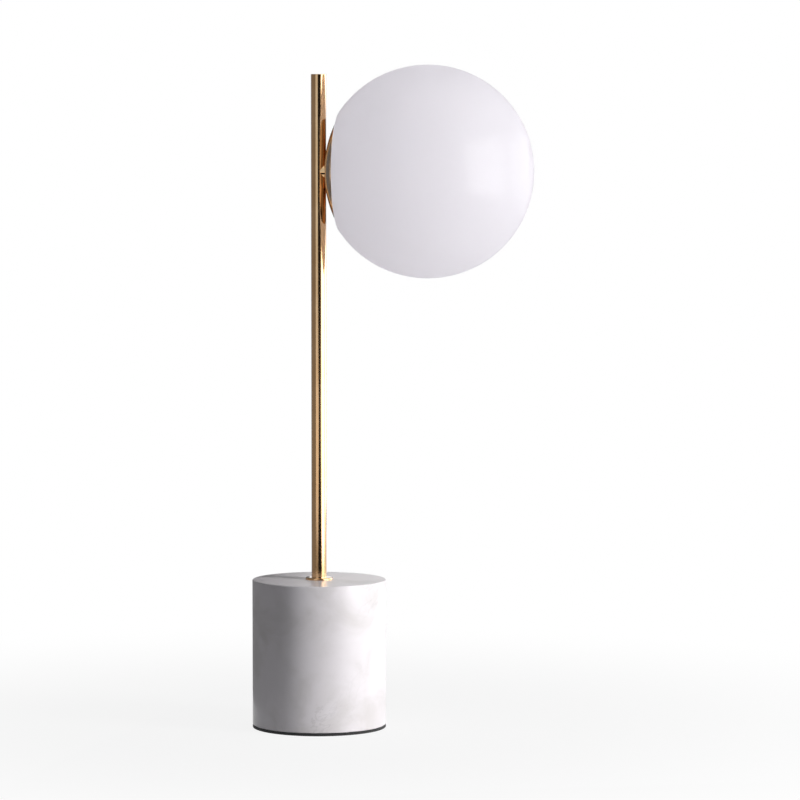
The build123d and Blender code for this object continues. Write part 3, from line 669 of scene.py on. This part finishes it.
def round_the_post(bearing, distance, height):
    """A place at a bearing from the camera's, a distance from the post and a height above the table."""
    turn = radians(CAMERA_BEARING + bearing)
    return Vector((sin(turn) * distance, -cos(turn) * distance, height))


def card(name, bearing, distance, height, width, length, material, tilt=90):
    """A studio card: upright and facing the lamp, or flat with no tilt, and unseen by the camera."""
    select_none()
    bpy.ops.mesh.primitive_grid_add(x_subdivisions=2, y_subdivisions=2, size=1,
                                    location=round_the_post(bearing, distance, height),
                                    rotation=(radians(tilt), 0, radians(CAMERA_BEARING + bearing)))
    made = bpy.context.object
    made.name = name
    made.scale = (width, length, 1)
    made.data.materials.append(material)
    made.visible_camera = False
    made.visible_shadow = False
    made.visible_transmission = False
    return made


def soft_lamp(name, bearing, distance, height, width, length, watts):
    """A soft rectangular light, aimed at the middle of the table lamp and unseen in reflections."""
    bpy.ops.object.light_add(type="AREA", location=(0, 0, 0))
    made = bpy.context.object
    made.name = name
    made.data.shape = "RECTANGLE"
    made.data.size, made.data.size_y = width, length
    made.data.energy = watts
    made.location = round_the_post(bearing, distance, height)
    aim = Vector((0.05, 0, 0.33)) - made.location
    made.rotation_euler = aim.to_track_quat("-Z", "Y").to_euler()
    made.visible_glossy = False


def photo_camera(scene):
    """The camera: about level with the globe, right of square-on and looking slightly down."""
    # these and the lens were fitted to the outlines of the globe, post, dish and drum
    stand_point, look_down = (0.5285, -3.2711, 0.5010), 3.88
    select_none()
    bpy.ops.object.camera_add(location=stand_point,
                              rotation=(radians(90 - look_down), 0, radians(CAMERA_BEARING)))
    camera = bpy.context.object
    camera.data.sensor_width = 36
    camera.data.lens = 177.84
    camera.data.clip_end = 50
    scene.camera = camera


def white_world(scene):
    """A world that is white where it is seen and gives the lamp a little cool light."""
    world = scene.world or bpy.data.worlds.new("studio")
    scene.world = world
    world.use_nodes = True
    tree = world.node_tree
    tree.nodes.clear()
    white = add(tree, "ShaderNodeBackground", {"Color": linear("#FFFFFF"), "Strength": 1.0})
    air = add(tree, "ShaderNodeBackground", {"Color": linear("#F6F8FF"), "Strength": 0.115})
    mix = add(tree, "ShaderNodeMixShader", {0: seen(tree), 1: air.outputs[0], 2: white.outputs[0]})
    out = add(tree, "ShaderNodeOutputWorld")
    tree.links.new(mix.outputs[0], out.inputs[0])


def paper_floor():
    """The floor: a pale sheet, seen as nearly white close to the lamp and as white farther off."""
    select_none()
    bpy.ops.mesh.primitive_grid_add(x_subdivisions=8, y_subdivisions=8, size=12, location=(0, 0, 0))
    floor = bpy.context.object
    floor.name = "floor"
    paper, tree, skin = surface("matt_white_paper", Roughness=0.9, Specular_IOR_Level=0.1)
    skin.inputs["Base Color"].default_value = linear("#C4C4C4")
    glow = add(tree, "ShaderNodeEmission", {"Color": linear("#FFFFFF"), "Strength": 1.0})
    where = add(tree, "ShaderNodeTexCoord").outputs["Object"]
    away = add(tree, "ShaderNodeVectorMath", {0: where}, operation="LENGTH").outputs["Value"]
    fade = add(tree, "ShaderNodeMapRange", {"Value": away, "From Min": 0.15, "From Max": 0.7,
                                            "To Min": 0.88, "To Max": 1.0},
               interpolation_type="SMOOTHSTEP")
    lift = add(tree, "ShaderNodeMath", {0: seen(tree), 1: fade.outputs["Result"]},
               operation="MULTIPLY").outputs[0]
    both = add(tree, "ShaderNodeMixShader", {0: lift, 1: skin.outputs[0], 2: glow.outputs[0]})
    tree.links.new(both.outputs[0], tree.nodes["Material Output"].inputs["Surface"])
    floor.data.materials.append(paper)


def studio_cards():
    """What metal and gloss show, from the back left: dim, grey, pale, dark, softbox, bright, grey."""
    grey = emitter("grey_card", "#FFFFFF", 0.24)
    dark = emitter("dark_card", "#FFFFFF", 0.015)
    dim = emitter("dim_card", "#FFFFFF", 0.12)
    pale = emitter("pale_card", "#E4F2FF", 0.9)
    bright = emitter("bright_card", "#FFFFFF", 3.5)
    silk = emitter("softbox_silk", "#FFFFFF", 4.6)
    for made in (
        card("card_left", -92, 1.5, 2.2, 3.2, 5.2, grey),
        card("card_back_left", -160, 1.6, 2.2, 1.05, 5.2, dim),
        card("card_gap", -27, 5.0, 3.5, 4.6, 8.0, pale),
        card("card_front", 11, 4.5, 3.5, 3.75, 8.0, dark),
        card("card_right", 122, 1.6, 0.48, 1.5, 0.9, bright),
        card("card_back_right", 160, 1.7, 2.2, 0.75, 5.2, grey),
        card("softbox_face", 66, 1.25, 0.54, 1.1, 1.2, silk),
    ):
        # the upright cards are seen in reflections and give no light
        made.visible_diffuse = False
    # on the floor, so that the foot of the post shows the same grey and dark as the rest of it
    card("card_floor_left", -105, 1.65, 0.5 * MM, 3.0, 3.0, grey, tilt=0)
    card("card_floor_front", 12, 2.4, 0.7 * MM, 1.4, 4.1, dark, tilt=0)


class LAMP_OT_stage(bpy.types.Operator):
    """Sets the camera at the photograph's angle, the pale floor, the studio's cards and the lamps"""
    bl_idname = "lamp.stage"
    bl_label = "Stage"

    def execute(self, context):
        scene = context.scene
        scene.view_settings.view_transform = "Standard"
        photo_camera(scene)
        white_world(scene)
        paper_floor()
        studio_cards()
        # the light of the softbox, whose face is a card, and of a window further round to the right
        soft_lamp("softbox", 61, 1.25, 0.54, 0.4, 0.9, watts=16.5)
        soft_lamp("window", 135, 1.6, 1.0, 2.4, 2.4, watts=6.5)
        return {"FINISHED"}


class LAMP_PT_panel(bpy.types.Panel):
    """Lists the lamp's pieces in the order in which they are made"""
    bl_idname = "LAMP_PT_panel"
    bl_label = "Lamp"
    bl_space_type = "VIEW_3D"
    bl_region_type = "UI"
    bl_category = "Lamp"

    def draw(self, context):
        for maker in MAKERS:
            self.layout.operator(maker.bl_idname)
        for group in (context.scene.lamp_sizes, context.scene.lamp_finish):
            for name in group.__annotations__:
                self.layout.prop(group, name)


MAKERS = (LAMP_OT_marble_drum, LAMP_OT_rubber_pad, LAMP_OT_post, LAMP_OT_dish, LAMP_OT_globe,
          LAMP_OT_bulb_cap, LAMP_OT_inner_finishes, LAMP_OT_stage)
CLASSES = (LampSizes, LampFinish, *MAKERS, LAMP_PT_panel)


def register():
    """Registers the classes and gives the scene its sizes and colours."""
    for each in CLASSES:
        bpy.utils.register_class(each)
    bpy.types.Scene.lamp_sizes = PointerProperty(type=LampSizes)
    bpy.types.Scene.lamp_finish = PointerProperty(type=LampFinish)


def unregister():
    """Undoes register."""
    del bpy.types.Scene.lamp_finish
    del bpy.types.Scene.lamp_sizes
    for each in reversed(CLASSES):
        bpy.utils.unregister_class(each)


def main():
    """Makes every piece and the stage in order."""
    register()
    for maker in MAKERS:
        group, action = maker.bl_idname.split(".")
        getattr(getattr(bpy.ops, group), action)()


if __name__ == "__main__":
    main()
